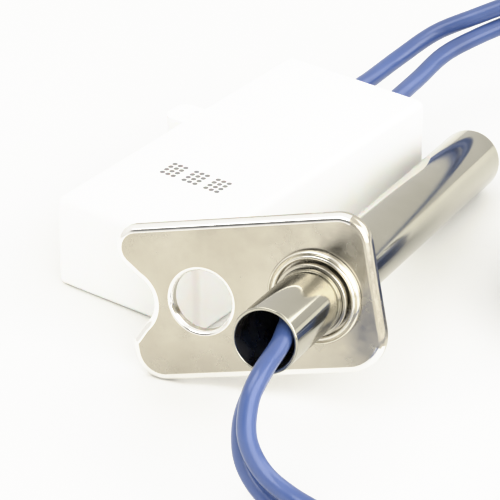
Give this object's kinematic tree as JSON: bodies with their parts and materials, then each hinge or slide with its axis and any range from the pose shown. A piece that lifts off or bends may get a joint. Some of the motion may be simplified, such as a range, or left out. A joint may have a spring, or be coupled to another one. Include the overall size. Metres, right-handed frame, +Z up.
{
  "type": "flame sensor probe",
  "caption": "Flame sensor probe: a thin metal tube held in a small stamped flange with one screw hole, with insulated leads to a rectangular plug.",
  "frame": {"origin": "floor point under the middle of the probe, which is the tube with its flange; the leads and plug are not counted", "axes": "+Z up, +Y the way the tube points on the floor, from the lead end to the window end. The probe lies as a loose one does, so its tube slopes down towards +Y and its flange leans."},
  "size_m": [0.0685, 0.0949, 0.0201],
  "materials": {
    "nickel_plate": "satin nickel plating",
    "polished_steel": "polished",
    "brass": "plain",
    "tinned_metal": "tinned",
    "white_nylon": "moulded",
    "blue_insulation": "extruded",
    "window_glass": "clear",
    "black_rubber": "matt",
    "cell_ceramic": "matt",
    "holder_plastic": "moulded",
    "liner_film": "film",
    "shrink_sleeve": "shrunk",
    "tie_plastic": "moulded"
  },
  "bodies": {
    "root": {"flange_plate": "nickel_plate", "sheath_tube": "polished_steel", "front_collar": "nickel_plate", "swage_ring": "nickel_plate", "rear_collar": "nickel_plate", "window_gasket": "black_rubber", "sensor_window": "window_glass", "window_retainer": "tinned_metal", "photocell_body": "cell_ceramic", "cell_holder": "holder_plastic", "cell_leg_1": "tinned_metal", "cell_leg_2": "tinned_metal", "splice_ferrule_1": "brass", "splice_ferrule_2": "brass", "splice_sleeve_1": "shrink_sleeve", "splice_sleeve_2": "shrink_sleeve", "lead_core_1": "tinned_metal", "lead_core_2": "tinned_metal", "inner_lead_1": "blue_insulation", "inner_lead_2": "blue_insulation", "liner_sleeve": "liner_film", "potting_plug": "black_rubber", "plug_housing": "white_nylon", "contact_1": "brass", "contact_2": "brass", "lead_1_out": "blue_insulation", "lead_2_out": "blue_insulation", "lead_1_back": "blue_insulation", "lead_2_back": "blue_insulation", "lead_coil": "blue_insulation", "coil_tie_1": "tie_plastic", "coil_tie_2": "tie_plastic"}
  },
  "joints": []
}
